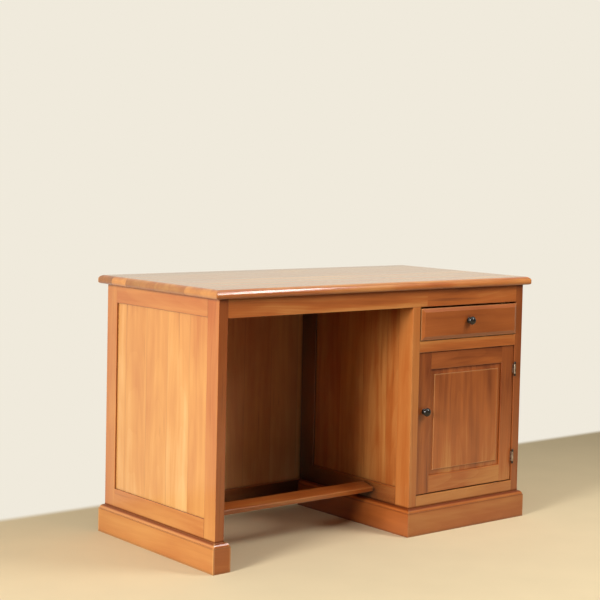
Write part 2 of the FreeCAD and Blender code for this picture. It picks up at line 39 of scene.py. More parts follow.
def linear(hex_colour):
    """The linear colour of an sRGB hex value such as #CD8244."""
    shares = [int(hex_colour[i:i + 2], 16) / 255 for i in (1, 3, 5)]
    return [s / 12.92 if s <= 0.04045 else ((s + 0.055) / 1.055) ** 2.4 for s in shares]


def rgba(colour):
    """A colour setting as the four numbers that a colour socket takes."""
    return (*colour, 1.0)


def colour_setting(name, hex_colour, description):
    return FloatVectorProperty(name=name, description=description, subtype="COLOR", size=3,
                               min=0.0, max=1.0, default=linear(hex_colour))


def length_setting(name, mm, description):
    return FloatProperty(name=name, description=description, subtype="DISTANCE", unit="LENGTH",
                         min=0.0001, default=mm * MM)


def share_setting(name, value, description, most=1.0):
    return FloatProperty(name=name, description=description, subtype="FACTOR",
                         min=0.0, max=most, default=value)


def power_setting(name, watts, description):
    return FloatProperty(name=name, description=description, unit="POWER", min=0.0, default=watts)


class DeskWood(PropertyGroup):
    """The varnished show wood and the plain wood inside"""
    dark: colour_setting("Late wood", "#7A3510", "Dark bands and streaks of the show wood under varnish")
    mid: colour_setting("Body", "#B9642A", "Middle tone of the show wood under varnish")
    pale: colour_setting("Early wood", "#DB9850", "Pale bands of the show wood under varnish")
    # The palest tone, and the colour of painted light on faces that look left and of painted highlights on
    # edges
    lit_faded: colour_setting("Faded wood", "#EFBB78", "Show wood that the light of a window has bleached")
    vein: colour_setting("Vein", "#5A2810", "Thin dark veins that run with the grain")
    # Colour of the dirt and painted shade in corners, joints and recesses
    dirt: colour_setting("Dirt", "#3A1808", "Old varnish and dirt that gather in corners and joints")
    # Colour of the painted shade deep in the kneehole
    kneehole_shade_colour: colour_setting("Soot", "#22140C", "Smoke and old polish deep in the kneehole")
    # Colour of the painted sheen on the back panels
    painted_sheen: colour_setting("Bloom", "#A79E9A", "Milky bloom in the varnish of the back panels")
    end_grain: colour_setting("End grain", "#7E5630", "Darkest ends of boards under varnish")
    ring_spacing: length_setting("Ring spacing", 6.0, "Width of one growth ring")
    band_width: length_setting("Band width", 26.0, "Usual width of the broad soft bands across the grain")
    vein_width: length_setting("Vein width", 10.0, "Usual spacing of the dark veins across the grain")
    fibre_width: length_setting("Fibre width", 3.0, "Width of the fine flecks across the grain")
    # How far the dirt and painted shade spread out of a corner
    dirt_and_shade_reach: length_setting("Dirt reach", 14.0, "How far dirt spreads out of a corner")
    # How far the pale rubbed edges and painted highlights reach
    wear_and_highlight_reach: length_setting("Wear reach", 4.0, "How far varnish is rubbed pale beside a sharp edge")
    # How far the kneehole's painted shade spreads out of its corners
    kneehole_shade_reach: length_setting("Smoke reach", 330.0, "How far smoke spreads out of the kneehole's corners")
    panel_board: length_setting("Panel board", 107.0, "Width of the boards that a panel is glued up from")
    top_stave: length_setting("Top stave", 74.0, "Width of the staves that the top is glued up from")
    glue_joint: length_setting("Glue joint", 1.4, "Half the width of the line where boards are glued")
    # The painted shade lines run along the plinth's top
    plinth_top: length_setting("Plinth top", 82.0, "Height of the plinth, where its moulding gathers dirt")
    varnish_roughness: share_setting("Varnish roughness", 0.16, "How much varnish blurs its mirror image")
    plain_dark: colour_setting("Plain late wood", "#B98A52", "Dark bands of the bare wood inside")
    plain_pale: colour_setting("Plain early wood", "#E0BE8C", "Pale bands of the bare wood inside")


class DeskFittings(PropertyGroup):
    """The knobs, hinges and catch"""
    japan: colour_setting("Knob black", "#14110F", "Black japan on the iron knobs and the hinge pins")
    worn_japan: colour_setting("Worn black", "#2E2620", "Brown where the black japan has worn thin")
    nickel: colour_setting("Nickel", "#B9AD9B", "Nickel plate on the hinges and the strike")
    tarnish: colour_setting("Tarnish", "#75634E", "Tarnish in the nickel plate")
    catch: colour_setting("Catch", "#5A3A22", "Moulded body of the magnetic catch")
    dark_catch: colour_setting("Dark catch", "#4A2E1A", "Darker clouds in the catch's moulded body")


class DeskStage(PropertyGroup):
    """The floor, backdrop and lights"""
    floor: colour_setting("Floor", "#E1CDA6", "Plain pale floor")
    bounce: share_setting("Floor bounce", 0.36, "Share of its light that the floor throws on the desk")
    backdrop: colour_setting("Backdrop", "#F0EADC", "Plain pale surroundings")
    mirrored: colour_setting("Mirrored backdrop", "#E8E5D2", "Surroundings as varnish and metal mirror them")
    ambient: share_setting("Ambient", 0.60, "Strength of the surroundings as a light", most=2.0)
    dim_side: share_setting("Dim side", 0.22, "Brightness of the side in front, beside the backdrop's")
    key_power: power_setting("Key light", 128.0, "Power of the large soft light at the left")
    top_power: power_setting("Top light", 34.0, "Power of the large soft light overhead")
    lamp_power: power_setting("Lamp", 42.0, "Power of the strip light in front at the right")


def add(tree, kind, inputs=None, stops=None, **settings):
    """One node of this kind with its settings; each input is a value or the socket that feeds it."""
    made = tree.nodes.new("ShaderNode" + kind)
    for name, value in settings.items():
        setattr(made, name, value)
    for key, value in (inputs or {}).items():
        if isinstance(value, bpy.types.NodeSocket):
            tree.links.new(value, made.inputs[key])
        else:
            made.inputs[key].default_value = value
    for i, (place, colour) in enumerate(stops or []):
        ramp = made.color_ramp.elements
        stop = ramp[i] if i < len(ramp) else ramp.new(place)
        stop.position, stop.color = place, colour
    return made


def new_material(name):
    """An empty material and its node tree."""
    material = bpy.data.materials.new(name)
    material.use_nodes = True
    material.node_tree.nodes.clear()
    return material, material.node_tree


# What each piece of wood has of its own: its tone from dark to pale, how dark the dirt and painted shade in
# its corners is, how much painted light pales its faces that look left, the change of painted light in a
# metre of height, the painted shade along the plinth's top, and how pale its edges are rubbed and painted as
# highlights
TRAITS = ("tone", "dirt", "fade", "slope", "ledge", "wear")


def dress(names, material, tone=0.0, dirt=0.6, fade=0.0, slope=0.0, ledge=0.0, wear=0.0):
    """Gives CAD nodes a material, and each one its traits, its middle and its own place in the timber."""
    for name in names:
        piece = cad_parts[name]
        low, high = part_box(name)
        piece["middle"] = list((low + high) / 2)
        piece["timber"] = float(sorted(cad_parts).index(name))
        for trait, value in zip(TRAITS, (tone, dirt, fade, slope, ledge, wear)):
            piece[trait] = float(value)
        for slot in piece.material_slots:
            slot.material = material


# Orange-brown softwood such as rimu, planed, stained and brushed with several coats of clear varnish: broad
# soft bands along the grain, a few thin dark veins, dirt and painted shade in the corners, painted shade
# deep in the kneehole, painted light on faces and edges, and a gloss that mirrors pale things.
def varnished_rimu(name, grain, across, board=None, shift=0.0, contrast=1.0, board_tones=0.10, kneehole_shade=0.0,
                   painted_sheen=0.0):
    """Show wood with its grain along one axis, in one board or in boards side by side across another."""
    found = bpy.data.materials.get(name)
    if found:
        return found
    wood = bpy.context.scene.desk_wood
    material, tree = new_material(name)
    deep = ({"X", "Y", "Z"} - {grain, across}).pop()

    coordinates = add(tree, "TexCoord").outputs
    place = coordinates["Object"]
    own = {key: add(tree, "Attribute", attribute_type="OBJECT", attribute_name=key).outputs
           for key in ("middle", "timber", *TRAITS)}
    middle, timber = own["middle"]["Vector"], own["timber"]["Fac"]
    tone, gathers, fade, slope, ledge, wear = (own[trait]["Fac"] for trait in TRAITS)
    facing = add(tree, "SeparateXYZ", {0: coordinates["Normal"]}).outputs
    height = add(tree, "SeparateXYZ", {0: place}).outputs["Z"]
    local = add(tree, "VectorMath", {0: place, 1: middle}, operation="SUBTRACT").outputs[0]
    parts = add(tree, "SeparateXYZ", {0: local}).outputs
    along, side, depth = parts[grain], parts[across], parts[deep]

    # The board that a point is in, its place in that board, and the board's own place along the trunk
    count = None
    if board:
        counted = add(tree, "Math", {0: side, 1: 1 / board, 2: shift},
                      operation="MULTIPLY_ADD").outputs[0]
        count = add(tree, "Math", {0: counted}, operation="FLOOR").outputs[0]
        share = add(tree, "Math", {0: counted}, operation="FRACT").outputs[0]
        side = add(tree, "Math", {0: share, 1: board, 2: -board / 2}, operation="MULTIPLY_ADD").outputs[0]
    draw_inputs = {0: count, 1: timber} if count else {1: timber}
    draw = add(tree, "TexWhiteNoise", {0: add(tree, "CombineXYZ", draw_inputs).outputs[0]},
               noise_dimensions="2D")
    chance = add(tree, "SeparateColor", {0: draw.outputs["Color"]}).outputs
    trunk = 9.0
    far = add(tree, "Math", {0: chance[2], 1: trunk, 2: along}, operation="MULTIPLY_ADD").outputs[0]
    fine = add(tree, "CombineXYZ", {0: side, 1: depth, 2: far}).outputs[0]

    # Slow drift of the grain along a board, a hand wide and about half a metre long, given per metre
    across_drift, along_drift = 11.0, 1.9
    slow = add(tree, "VectorMath", {0: fine, 1: (across_drift, across_drift, along_drift)},
               operation="MULTIPLY").outputs[0]
    drift = add(tree, "TexNoise", {"Vector": slow, "Scale": 1.0, "Detail": 1.5}).outputs["Color"]
    drift = add(tree, "VectorMath", {0: drift, 1: (0.5, 0.5, 0.5)}, operation="SUBTRACT").outputs[0]

    # Rings round a heart that lies to one side, behind the face, and leans a little along the board
    spread, nearest, further, slant = 90 * MM, 35 * MM, 100 * MM, 0.05
    heart_side = add(tree, "Math", {0: chance[0], 1: spread, 2: -spread / 2},
                     operation="MULTIPLY_ADD").outputs[0]
    heart_deep = add(tree, "Math", {0: chance[1], 1: further, 2: nearest},
                     operation="MULTIPLY_ADD").outputs[0]
    lean = add(tree, "Math", {0: along, 1: slant, 2: heart_deep}, operation="MULTIPLY_ADD").outputs[0]
    heart = add(tree, "CombineXYZ", {0: heart_side, 1: lean}).outputs[0]
    cross = add(tree, "CombineXYZ", {0: side, 1: depth}).outputs[0]
    cross = add(tree, "VectorMath", {0: cross, 1: heart}, operation="ADD").outputs[0]
    sway = 14 * MM
    cross = add(tree, "VectorMath", {0: drift, 1: (sway, sway, 0.0), 2: cross},
                operation="MULTIPLY_ADD").outputs[0]
    # At a scale of 1 the texture's rings are a twentieth of tau apart, in metres
    rings = add(tree, "TexWave", {"Vector": cross, "Scale": math.tau / (20 * wood.ring_spacing),
                                  "Distortion": 0.6, "Detail": 1.0, "Detail Scale": 0.5},
                wave_type="RINGS", rings_direction="Z", wave_profile="SAW").outputs["Fac"]

    # Noises drawn out along the grain: fibre flecks, wider than the real 1 mm so that they show, veins,
    # bands and clouds, each with its width and length
    wave = 45 * MM
    wavy = add(tree, "VectorMath", {0: drift, 1: (wave, wave, 0.0), 2: fine},
               operation="MULTIPLY_ADD").outputs[0]
    figures = {"rings": rings}
    for figure, width, length, detail in (
            ("fleck", wood.fibre_width, 70 * MM, 2.0), ("vein", wood.vein_width, 450 * MM, 2.0),
            ("band", wood.band_width, 800 * MM, 1.5), ("cloud", 65 * MM, 220 * MM, 2.0)):
        drawn = add(tree, "VectorMath", {0: wavy, 1: (1 / width, 1 / width, 1 / length)},
                    operation="MULTIPLY").outputs[0]
        figures[figure] = add(tree, "TexNoise", {"Vector": drawn, "Scale": 1.0,
                                                 "Detail": detail}).outputs[0]

    # All of these as one tone from dark to faded, with painted light that pales the faces looking left and
    # painted light that changes with height
    window = add(tree, "MapRange", {0: facing["X"], 1: -0.35, 2: -0.9, 3: 0.0, 4: fade}).outputs[0]
    painted_light = add(tree, "Math", {0: parts["Z"], 1: slope, 2: window}, operation="MULTIPLY_ADD").outputs[0]
    level = add(tree, "Math", {0: chance[0], 1: board_tones, 2: tone},
                operation="MULTIPLY_ADD").outputs[0]
    level = add(tree, "Math", {0: level, 1: painted_light}, operation="ADD").outputs[0]
    weights = {"rings": 0.05, "fleck": 0.10, "vein": 0.22, "band": 0.54, "cloud": 0.60}
    for figure, weight in weights.items():
        level = add(tree, "Math", {0: figures[figure], 1: weight * contrast, 2: level},
                    operation="MULTIPLY_ADD").outputs[0]
    middle_tone = 0.43
    rest = middle_tone - board_tones / 2 - sum(weights.values()) * contrast / 2
    level = add(tree, "Math", {0: level, 1: rest}, operation="ADD").outputs[0]
    colour = add(tree, "ValToRGB", {0: level}, stops=[
        (0.0, rgba(wood.dark)), (0.42, rgba(wood.mid)), (0.75, rgba(wood.pale)),
        (1.0, rgba(wood.lit_faded))]).outputs[0]
    streak = add(tree, "MapRange", {0: figures["vein"], 1: 0.36, 2: 0.24, 3: 0.0, 4: 0.40 * contrast},
                 interpolation_type="SMOOTHSTEP").outputs[0]
    colour = add(tree, "Mix", {0: streak, 6: colour, 7: rgba(wood.vein)}, data_type="RGBA").outputs[2]

    # Glue joints between the boards show as thin dark lines
    if board:
        off_middle = add(tree, "Math", {0: side}, operation="ABSOLUTE").outputs[0]
        joint = add(tree, "MapRange", {0: off_middle, 1: board / 2 - wood.glue_joint,
                                       2: board / 2 - 0.3 * MM, 3: 0.0, 4: 0.22}).outputs[0]
        colour = add(tree, "Mix", {0: joint, 6: colour, 7: rgba(wood.vein)}, data_type="RGBA").outputs[2]

    # End grain drinks more stain and dulls, in some boards more than in others
    end = add(tree, "Math", {0: facing[grain]}, operation="ABSOLUTE").outputs[0]
    end = add(tree, "MapRange", {0: end, 1: 0.35, 2: 0.9, 3: 0.0, 4: 0.6}).outputs[0]
    end_tone = add(tree, "Mix", {0: chance[1], 6: rgba(wood.end_grain), 7: rgba(wood.pale)},
                   data_type="RGBA").outputs[2]
    colour = add(tree, "Mix", {0: end, 6: colour, 7: end_tone}, data_type="RGBA").outputs[2]

    # Painted shade: dark lines along the plinth's top edge and in the quirk under its moulding, where the
    # moulding's shadow falls
    moulding, quirk_half, quirk_share = 13.0 * MM, 1.0 * MM, 0.7
    edge = add(tree, "Math", {0: height, 1: wood.plinth_top}, operation="SUBTRACT").outputs[0]
    edge = add(tree, "Math", {0: edge}, operation="ABSOLUTE").outputs[0]
    edge = add(tree, "MapRange", {0: edge, 1: 6.5 * MM, 2: 2.0 * MM},
               interpolation_type="SMOOTHSTEP").outputs[0]
    quirk = add(tree, "Math", {0: height, 1: wood.plinth_top - moulding, 2: quirk_half},
                operation="COMPARE").outputs[0]
    lines = add(tree, "Math", {0: quirk, 1: quirk_share, 2: edge}, operation="MULTIPLY_ADD").outputs[0]
    lines = add(tree, "Math", {0: lines, 1: ledge}, operation="MULTIPLY").outputs[0]
    colour = add(tree, "Mix", {0: lines, 6: colour, 7: rgba(wood.dark)}, data_type="RGBA").outputs[2]

    # Painted shade deep in the kneehole, on the faces that look into it: darker the more of the kneehole
    # shuts them in
    if kneehole_shade:
        open_share = add(tree, "AmbientOcclusion", {"Distance": wood.kneehole_shade_reach},
                         samples=6).outputs["AO"]
        inward = add(tree, "Math", {0: facing["X"], 1: facing["Y"]}, operation="MINIMUM").outputs[0]
        inward = add(tree, "MapRange", {0: inward, 1: -0.4, 2: -0.6, 3: 0.0, 4: kneehole_shade}).outputs[0]
        kneehole_shaded = add(tree, "MapRange", {0: open_share, 1: 0.85, 2: 0.42, 3: 0.0, 4: inward},
                     interpolation_type="SMOOTHSTEP").outputs[0]
        colour = add(tree, "Mix", {0: kneehole_shaded, 6: colour, 7: rgba(wood.kneehole_shade_colour)}, data_type="RGBA").outputs[2]

    # Painted sheen: milky grey mixed in, standing in for the grey that the varnish mirrors
    if painted_sheen:
        colour = add(tree, "Mix", {0: painted_sheen, 6: colour, 7: rgba(wood.painted_sheen)}, data_type="RGBA").outputs[2]

    # Dirt and painted shade: darker where the surface is shut in by its neighbours, in corners, joints and
    # recesses
    open_share = add(tree, "AmbientOcclusion", {"Distance": wood.dirt_and_shade_reach}, samples=6).outputs["AO"]
    dirt_and_shade_share = add(tree, "MapRange", {0: open_share, 1: 0.85, 2: 0.45, 3: 0.0, 4: gathers},
                interpolation_type="SMOOTHSTEP").outputs[0]
    colour = add(tree, "Mix", {0: dirt_and_shade_share, 6: colour, 7: rgba(wood.dirt)}, data_type="RGBA").outputs[2]

    # Sharp edges are painted pale, partly as rubbed varnish and partly as painted highlights: looked for
    # from inside the wood, where an edge is a corner
    solid_share = add(tree, "AmbientOcclusion", {"Distance": wood.wear_and_highlight_reach},
                      samples=6, inside=True).outputs["AO"]
    rubbed_and_highlit = add(tree, "MapRange", {0: solid_share, 1: 0.93, 2: 0.60, 3: 0.0, 4: wear}).outputs[0]
    colour = add(tree, "Mix", {0: rubbed_and_highlit, 6: colour, 7: rgba(wood.lit_faded)}, data_type="RGBA").outputs[2]

    # The gloss stops at the painted shade lines, so they mirror nothing
    gloss = add(tree, "MapRange", {0: lines, 1: 0.0, 2: 0.9, 3: 1.0, 4: 0.15}).outputs[0]
    rough = add(tree, "MapRange", {0: figures["cloud"], 1: 0.3, 2: 0.7, 3: 0.34, 4: 0.48}).outputs[0]
    relief = add(tree, "Math", {0: figures["fleck"], 1: 0.5, 2: figures["vein"]},
                 operation="MULTIPLY_ADD").outputs[0]
    bump = add(tree, "Bump", {"Strength": 0.10, "Distance": 0.4 * MM, "Height": relief}).outputs[0]
    surface = add(tree, "BsdfPrincipled", {
        "Base Color": colour, "Roughness": rough, "IOR": 1.5, "Specular IOR Level": 0.2, "Normal": bump,
        "Coat Weight": gloss, "Coat Roughness": wood.varnish_roughness, "Coat IOR": 1.5}).outputs[0]
    add(tree, "OutputMaterial", {0: surface})
    return material


# Knot-free pine, planed and left bare: pale yellow bands with thin darker late wood, and no gloss.
def bare_pine(name, grain):
    """Plain wood for the parts inside, with its grain along one axis."""
    found = bpy.data.materials.get(name)
    if found:
        return found
    wood = bpy.context.scene.desk_wood
    material, tree = new_material(name)
    sides = sorted({"X", "Y", "Z"} - {grain})
    place = add(tree, "TexCoord").outputs["Object"]
    timber = add(tree, "Attribute", attribute_type="OBJECT", attribute_name="timber").outputs["Fac"]
    parts = add(tree, "SeparateXYZ", {0: place}).outputs
    apart = 1.7
    far = add(tree, "Math", {0: timber, 1: apart, 2: parts[grain]}, operation="MULTIPLY_ADD").outputs[0]
    wide = add(tree, "CombineXYZ", {0: parts[sides[0]], 1: parts[sides[1]], 2: far}).outputs[0]
    figures = []
    for width, length, detail in ((8 * MM, 350 * MM, 2.5), (2.5 * MM, 50 * MM, 2.0)):
        drawn = add(tree, "VectorMath", {0: wide, 1: (1 / width, 1 / width, 1 / length)},
                    operation="MULTIPLY").outputs[0]
        figures.append(add(tree, "TexNoise", {"Vector": drawn, "Scale": 1.0, "Detail": detail}).outputs[0])
    band, fleck = figures
    level = add(tree, "Math", {0: fleck, 1: 0.4, 2: band}, operation="MULTIPLY_ADD").outputs[0]
    colour = add(tree, "ValToRGB", {0: level}, stops=[
        (0.45, rgba(wood.plain_dark)), (0.85, rgba(wood.plain_pale))]).outputs[0]
    rough = add(tree, "MapRange", {0: band, 1: 0.3, 2: 0.7, 3: 0.58, 4: 0.70}).outputs[0]
    bump = add(tree, "Bump", {"Strength": 0.2, "Distance": 0.4 * MM, "Height": level}).outputs[0]
    surface = add(tree, "BsdfPrincipled", {
        "Base Color": colour, "Roughness": rough, "IOR": 1.5, "Normal": bump}).outputs[0]
    add(tree, "OutputMaterial", {0: surface})
    return material


# Cast iron dipped in black japan: a deep gloss black, uneven where the coat has run and worn brown.
def japanned_iron():
    """Black glossy coat of the knobs and hinge pins."""
    fittings = bpy.context.scene.desk_fittings
    material, tree = new_material("japanned_iron_dipped")
    place = add(tree, "TexCoord").outputs["Object"]
    run = 6 * MM
    mottle = add(tree, "TexNoise", {"Vector": place, "Scale": 1 / run, "Detail": 3.0}).outputs[0]
    colour = add(tree, "ValToRGB", {0: mottle}, stops=[
        (0.35, rgba(fittings.japan)), (0.80, rgba(fittings.worn_japan))]).outputs[0]
    rough = add(tree, "MapRange", {0: mottle, 1: 0.3, 2: 0.7, 3: 0.22, 4: 0.36}).outputs[0]
    bump = add(tree, "Bump", {"Strength": 0.15, "Distance": 0.2 * MM, "Height": mottle}).outputs[0]
    surface = add(tree, "BsdfPrincipled", {
        "Base Color": colour, "Roughness": rough, "IOR": 1.55, "Specular IOR Level": 0.15, "Normal": bump,
        "Coat Weight": 0.5, "Coat Roughness": 0.10}).outputs[0]
    add(tree, "OutputMaterial", {0: surface})
    return material


# Pressed steel plated with nickel: a warm grey metal with brown tarnish in patches and fine drawn lines.
def nickel_steel():
    """Plated metal of the hinge leaves, screws and strike."""
    fittings = bpy.context.scene.desk_fittings
    material, tree = new_material("nickel_plated_steel_pressed")
    place = add(tree, "TexCoord").outputs["Object"]
    spot, line_width, line_length = 9 * MM, 0.8 * MM, 20 * MM
    patch = add(tree, "TexNoise", {"Vector": place, "Scale": 1 / spot, "Detail": 4.0}).outputs[0]
    drawn = add(tree, "VectorMath", {0: place, 1: (1 / line_width, 1 / line_width, 1 / line_length)},
                operation="MULTIPLY").outputs[0]
    lines = add(tree, "TexNoise", {"Vector": drawn, "Scale": 1.0, "Detail": 1.0}).outputs[0]
    colour = add(tree, "ValToRGB", {0: patch}, stops=[
        (0.30, rgba(fittings.tarnish)), (0.62, rgba(fittings.nickel))]).outputs[0]
    rough = add(tree, "MapRange", {0: patch, 1: 0.3, 2: 0.7, 3: 0.45, 4: 0.26}).outputs[0]
    bump = add(tree, "Bump", {"Strength": 0.1, "Distance": 0.1 * MM, "Height": lines}).outputs[0]
    surface = add(tree, "BsdfPrincipled", {
        "Base Color": colour, "Metallic": 1.0, "Roughness": rough, "Normal": bump}).outputs[0]
    add(tree, "OutputMaterial", {0: surface})
    return material


# Moulded polypropylene: a dull brown with a fine eroded grain from the mould.
def moulded_polypropylene():
    """Body of the magnetic catch."""
    fittings = bpy.context.scene.desk_fittings
    material, tree = new_material("polypropylene_moulded_brown")
    place = add(tree, "TexCoord").outputs["Object"]
    pit, flow = 1.2 * MM, 20 * MM
    grain = add(tree, "TexNoise", {"Vector": place, "Scale": 1 / pit, "Detail": 2.0}).outputs[0]
    tint = add(tree, "TexNoise", {"Vector": place, "Scale": 1 / flow, "Detail": 1.0}).outputs[0]
    colour = add(tree, "ValToRGB", {0: tint}, stops=[
        (0.2, rgba(fittings.dark_catch)), (0.8, rgba(fittings.catch))]).outputs[0]
    rough = add(tree, "MapRange", {0: grain, 1: 0.3, 2: 0.7, 3: 0.42, 4: 0.55}).outputs[0]
    bump = add(tree, "Bump", {"Strength": 0.25, "Distance": 0.1 * MM, "Height": grain}).outputs[0]
    surface = add(tree, "BsdfPrincipled", {
        "Base Color": colour, "Roughness": rough, "IOR": 1.49, "Normal": bump}).outputs[0]
    add(tree, "OutputMaterial", {0: surface})
    return material


def board_along(grain, across):
    """Show wood in one board."""
    return varnished_rimu(f"rimu_varnished_{grain}_{across}", grain, across)


def quiet_board(grain, across):
    """Show wood in one board of even, straight grain."""
    return varnished_rimu(f"rimu_varnished_even_{grain}_{across}", grain, across, contrast=0.45)


def kneehole_board(grain, across):
    """Show wood in one board round the kneehole, with painted shade in its depth."""
    return varnished_rimu(f"rimu_varnished_smoked_{grain}_{across}", grain, across, contrast=0.5,
                          kneehole_shade=0.95)


class DESK_OT_top(Operator):
    """Finish the top, glued up from staves along its length"""
    bl_idname = "desk.top"
    bl_label = "Top"

    def execute(self, context):
        wood = context.scene.desk_wood
        staves = varnished_rimu("rimu_varnished_staves_of_the_top", "X", "Y", wood.top_stave,
                                board_tones=0.22)
        dress(["desk_top"], staves, tone=0.04)
        return {"FINISHED"}


class DESK_OT_sides(Operator):
    """Finish the two ends and the inner side of the pedestal: stiles, rails and panels"""
    bl_idname = "desk.sides"
    bl_label = "Ends and inner side"

    def execute(self, context):
        wood = context.scene.desk_wood
        panel = varnished_rimu("rimu_varnished_boards_of_side_panels", "Z", "Y", wood.panel_board,
                               shift=0.30, contrast=0.55)
        upright, level = quiet_board("Z", "Y"), quiet_board("Y", "Z")
        # Painted light: the faces that look left are painted paler where the light from the left falls on
        # them, and the panels and front stiles are painted paler towards the floor
        for side, fade in (("left", 0.26), ("right", 0.0)):
            dress([f"{side}_panel"], panel, tone=0.02, fade=fade, slope=-0.25)
            dress([f"{side}_front_stile"], upright, tone=-0.22, fade=fade + 0.06, slope=-0.25, ledge=0.9)
            dress([f"{side}_rear_stile"], upright, tone=-0.14, fade=fade, ledge=0.9)
            dress([f"{side}_top_rail"], level, tone=-0.17, fade=fade)
            dress([f"{side}_bottom_rail"], level, tone=-0.08, fade=fade, ledge=0.9)
        # The inner panel gets painted shade deep in the kneehole
        kneehole_shaded = varnished_rimu("rimu_varnished_smoked_boards_of_inner_panel", "Z", "Y", wood.panel_board,
                                shift=0.30, contrast=0.75, board_tones=0.20, kneehole_shade=0.5)
        dress(["inner_panel"], kneehole_shaded, tone=0.06)
        dress(["inner_front_stile"], upright, tone=0.06, ledge=0.9)
        dress(["inner_rear_stile"], kneehole_board("Z", "Y"))
        dress(["inner_top_rail"], kneehole_board("Y", "Z"))
        dress(["inner_bottom_rail"], kneehole_board("Y", "Z"), ledge=0.9)
        return {"FINISHED"}


class DESK_OT_back(Operator):
    """Finish the back: rails, muntin and two panels"""
    bl_idname = "desk.back"
    bl_label = "Back"

    def execute(self, context):
        wood = context.scene.desk_wood
        # The back panels get painted shade deep in the kneehole, a painted sheen, and painted light that is
        # paler towards the floor
        panel = varnished_rimu("rimu_varnished_smoked_boards_of_back_panels", "Z", "X", wood.panel_board,
                               contrast=0.65, board_tones=0.20, kneehole_shade=0.15, painted_sheen=0.13)
        dress(["back_knee_panel", "back_cupboard_panel"], panel, tone=0.20, slope=-0.4)
        dress(["back_muntin"], kneehole_board("Z", "X"))
        dress(["back_top_rail", "back_bottom_rail"], kneehole_board("X", "Z"))
        return {"FINISHED"}


class DESK_OT_front_rails(Operator):
    """Finish the apron in two lengths, the rail under the drawer and the rail under the door"""
    bl_idname = "desk.front_rails"
    bl_label = "Front rails"

    def execute(self, context):
        dress(["knee_apron", "drawer_apron"], board_along("X", "Z"), tone=-0.03)
        dress(["drawer_divider"], board_along("X", "Z"))
        dress(["base_rail"], quiet_board("X", "Z"), tone=0.18, ledge=0.9)
        return {"FINISHED"}


class DESK_OT_plinths(Operator):
    """Finish the moulded plinth boards"""
    bl_idname = "desk.plinths"
    bl_label = "Plinths"

    def execute(self, context):
        long, deep = quiet_board("X", "Z"), quiet_board("Y", "Z")
        # Painted light pales the plinths' faces that look left, and painted highlights pale their edges
        dress(["left_plinth_front"], long, tone=-0.10, ledge=0.9, wear=0.25)
        dress(["pedestal_plinth_front", "rear_plinth_returns"], long, ledge=1.0, wear=0.08)
        dress(["left_plinth_outer", "left_plinth_inner", "right_plinth_outer"], deep, tone=-0.02,
              fade=0.14, ledge=0.9, wear=0.25)
        # Painted shade: the plinth inside the kneehole is toned darker
        dress(["pedestal_plinth_inner"], deep, tone=-0.12, ledge=0.9)
        return {"FINISHED"}


class DESK_OT_footrest(Operator):
    """Finish the sloped footrest"""
    bl_idname = "desk.footrest"
    bl_label = "Footrest"

    def execute(self, context):
        dress(["footrest"], board_along("X", "Y"), tone=-0.12, wear=0.2)
        return {"FINISHED"}


class DESK_OT_inside(Operator):
    """Finish the bare wood inside: runners, kickers, stops, floor, cleats and dowels"""
    bl_idname = "desk.inside"
    bl_label = "Inside"

    def execute(self, context):
        dress(["cupboard_floor", "floor_cleats", "drawer_runners", "drawer_kickers"],
              bare_pine("pine_bare_Y", "Y"))
        dress(["drawer_stops", "top_dowels"], bare_pine("pine_bare_Z", "Z"))
        dress(["footrest_dowels"], bare_pine("pine_bare_X", "X"))
        return {"FINISHED"}


class DESK_OT_drawer(Operator):
    """Finish the drawer: a bevelled show front on a bare wood box"""
    bl_idname = "desk.drawer"
    bl_label = "Drawer"

    def execute(self, context):
        dress(["drawer_front"], quiet_board("X", "Z"), tone=-0.15, wear=0.35)
        dress(["drawer_inner_side", "drawer_outer_side"], bare_pine("pine_bare_Y", "Y"))
        dress(["drawer_back", "drawer_bottom"], bare_pine("pine_bare_X", "X"))
        return {"FINISHED"}


class DESK_OT_door(Operator):
    """Finish the door: stiles, rails and raised panel"""
    bl_idname = "desk.door"
    bl_label = "Door"

    def execute(self, context):
        # The door has less dirt and painted shade in its corners than the carcass, and a painted reflection
        # of the floor makes it paler towards the floor
        upright, level, dirt = board_along("Z", "X"), board_along("X", "Z"), 0.22
        dress(["door_left_stile", "door_right_stile"], upright, tone=-0.14, dirt=dirt, slope=-0.95)
        dress(["door_panel"], upright, tone=-0.14, dirt=dirt, slope=-0.95, wear=0.35)
        dress(["door_top_rail"], level, tone=-0.20, dirt=dirt)
        dress(["door_bottom_rail"], level, tone=0.06, dirt=dirt)
        return {"FINISHED"}


class DESK_OT_fittings(Operator):
    """Finish the knobs, hinges and catch"""
    bl_idname = "desk.fittings"
    bl_label = "Fittings"

    def execute(self, context):
        dress(["drawer_knob", "door_knob", "hinge_pins"], japanned_iron())
        dress(["hinge_frame_leaves", "hinge_door_leaves", "hinge_frame_screws", "hinge_door_screws",
               "catch_strike"], nickel_steel())
        dress(["door_catch"], moulded_polypropylene())
        return {"FINISHED"}


# The photograph's view: the camera's place, its turn, tip and roll, and its focal length and the height of
# its axis over the picture's middle, in pixels of a 600 pixel frame
CAMERA_PLACE = Vector((-2.8657, -3.4013, 1.0864))
CAMERA_YAW, CAMERA_PITCH, CAMERA_ROLL = math.radians(39.153), math.radians(-3.163), math.radians(1.25)
FRAME_PIXELS, FOCAL_PIXELS, AXIS_ABOVE_MIDDLE = 600, 1461.8, 50
SENSOR_MM = 36.0


